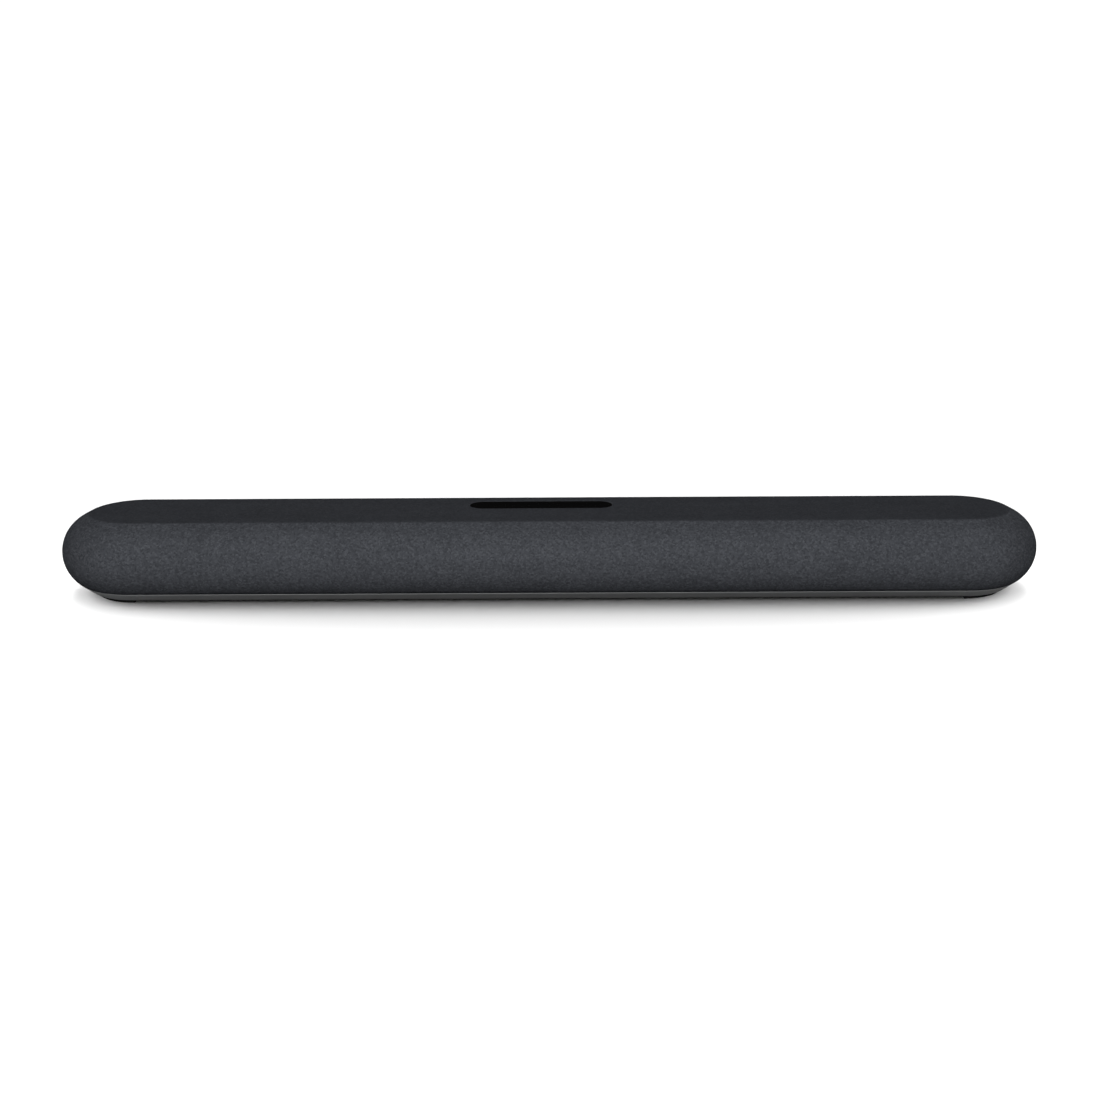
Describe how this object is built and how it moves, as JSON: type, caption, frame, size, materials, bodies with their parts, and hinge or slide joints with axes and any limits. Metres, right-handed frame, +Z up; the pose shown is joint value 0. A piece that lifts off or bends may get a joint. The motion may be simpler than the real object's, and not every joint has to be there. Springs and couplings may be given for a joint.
{
  "type": "soundbar",
  "caption": "Low round-ended soundbar wrapped in knit fabric over a tapered plastic base, with a black touch panel on top and a connector bay behind.",
  "frame": {"origin": "on the surface that the feet stand on, under the middle of the bar", "axes": "+X along the bar to the listener's right, -Y to the front (towards the listener), +Z up"},
  "size_m": [0.79, 0.125, 0.067],
  "materials": {
    "charcoal_knit": "fine speckled charcoal knit, matt",
    "inner_plastic": "black moulded plastic",
    "seam_rubber": "matt black foam rubber",
    "base_plastic": "dark grey satin moulded plastic",
    "steel_screw": "blackened steel",
    "black_glass": "polished black touch panel",
    "screen": "dark display module",
    "circuit_board": "green solder mask",
    "rear_plastic": "dark grey fine-textured plastic",
    "brass_insert": "turned brass",
    "plate_plastic": "black fine-textured plastic",
    "socket_plastic": "black moulded plastic",
    "socket_steel": "tinned steel",
    "chip_plastic": "black chip packages",
    "black_aluminium": "black anodised",
    "power_parts": "sleeved capacitors and a taped transformer",
    "ribbon": "amber film",
    "wire_rubber": "black wire insulation",
    "button_plastic": "dark grey satin plastic",
    "foot_rubber": "matt black rubber",
    "driver_plastic": "black glass-filled plastic",
    "dome_silk": "coated silk",
    "radiator_plate": "dark anodised plate",
    "suspension_rubber": "soft black rubber",
    "box_plastic": "black moulded plastic",
    "basket_steel": "black painted pressed steel",
    "magnet": "ceramic magnet between plated steel plates",
    "cone_paper": "coated dark grey paper"
  },
  "bodies": {
    "housing": {"antennas": "circuit_board", "base_cover": "base_plastic", "board_parts": "chip_plastic", "box_lid_centre": "box_plastic", "box_lid_left": "box_plastic", "box_lid_right": "box_plastic", "case_screws": "steel_screw", "connector_plate": "plate_plastic", "display_holder": "inner_plastic", "display_module": "screen", "display_ribbon": "ribbon", "driver_screws": "steel_screw", "fabric_cover": "charcoal_knit", "foot_left": "foot_rubber", "foot_right": "foot_rubber", "grille_shell": "inner_plastic", "hdmi_socket": "socket_steel", "heatsink": "black_aluminium", "main_board": "circuit_board", "network_socket": "socket_steel", "optical_socket": "socket_plastic", "power_board": "circuit_board", "power_inlet": "socket_plastic", "power_parts": "power_parts", "radiator_frame_left": "driver_plastic", "radiator_frame_right": "driver_plastic", "radiator_surround_left": "suspension_rubber", "radiator_surround_right": "suspension_rubber", "rear_panel": "rear_plastic", "seam_gasket": "seam_rubber", "speaker_box_centre": "box_plastic", "speaker_box_left": "box_plastic", "speaker_box_right": "box_plastic", "speaker_wires": "wire_rubber", "touch_board": "circuit_board", "touch_glass": "black_glass", "tweeter_body_left": "driver_plastic", "tweeter_body_right": "driver_plastic", "usb_socket": "socket_steel", "wall_mount_inserts": "brass_insert", "woofer_basket_centre": "basket_steel", "woofer_basket_left": "basket_steel", "woofer_basket_right": "basket_steel", "woofer_magnet_centre": "magnet", "woofer_magnet_left": "magnet", "woofer_magnet_right": "magnet", "woofer_suspension_centre": "suspension_rubber", "woofer_suspension_left": "suspension_rubber", "woofer_suspension_right": "suspension_rubber"},
    "cone_left": {"woofer_cone_left": "cone_paper"},
    "cone_centre": {"woofer_cone_centre": "cone_paper"},
    "cone_right": {"woofer_cone_right": "cone_paper"},
    "dome_left": {"tweeter_dome_left": "dome_silk"},
    "dome_right": {"tweeter_dome_right": "dome_silk"},
    "radiator_left": {"radiator_plate_left": "radiator_plate"},
    "radiator_right": {"radiator_plate_right": "radiator_plate"},
    "pairing_button": {"pairing_button": "button_plastic"},
    "mute_button": {"mute_button": "button_plastic"}
  },
  "joints": [
    {"name": "cone_left_slide", "type": "slide", "parent": "housing", "child": "cone_left", "axis": [0, -1, 0], "range_m": [-0.003, 0.003], "stiffness_N_per_m": 1000, "deforming": ["woofer_suspension_left"]},
    {"name": "cone_centre_slide", "type": "slide", "parent": "housing", "child": "cone_centre", "axis": [0, -1, 0], "range_m": [-0.003, 0.003], "stiffness_N_per_m": 1000, "deforming": ["woofer_suspension_centre"]},
    {"name": "cone_right_slide", "type": "slide", "parent": "housing", "child": "cone_right", "axis": [0, -1, 0], "range_m": [-0.003, 0.003], "stiffness_N_per_m": 1000, "deforming": ["woofer_suspension_right"]},
    {"name": "dome_left_slide", "type": "slide", "parent": "housing", "child": "dome_left", "axis": [0, -1, 0], "range_m": [-0.0003, 0.0003], "stiffness_N_per_m": 1000},
    {"name": "dome_right_slide", "type": "slide", "parent": "housing", "child": "dome_right", "axis": [0, -1, 0], "range_m": [-0.0003, 0.0003], "stiffness_N_per_m": 1000},
    {"name": "radiator_left_slide", "type": "slide", "parent": "housing", "child": "radiator_left", "axis": [0, 0, 1], "range_m": [-0.003, 0.003], "stiffness_N_per_m": 2500, "deforming": ["radiator_surround_left"]},
    {"name": "radiator_right_slide", "type": "slide", "parent": "housing", "child": "radiator_right", "axis": [0, 0, 1], "range_m": [-0.003, 0.003], "stiffness_N_per_m": 2500, "deforming": ["radiator_surround_right"]},
    {"name": "pairing_press", "type": "slide", "parent": "housing", "child": "pairing_button", "axis": [0, -1, 0], "range_m": [0, 0.0008], "stiffness_N_per_m": 1000, "springref_m": -0.0004},
    {"name": "mute_press", "type": "slide", "parent": "housing", "child": "mute_button", "axis": [0, -1, 0], "range_m": [0, 0.0008], "stiffness_N_per_m": 1000, "springref_m": -0.0004}
  ]
}
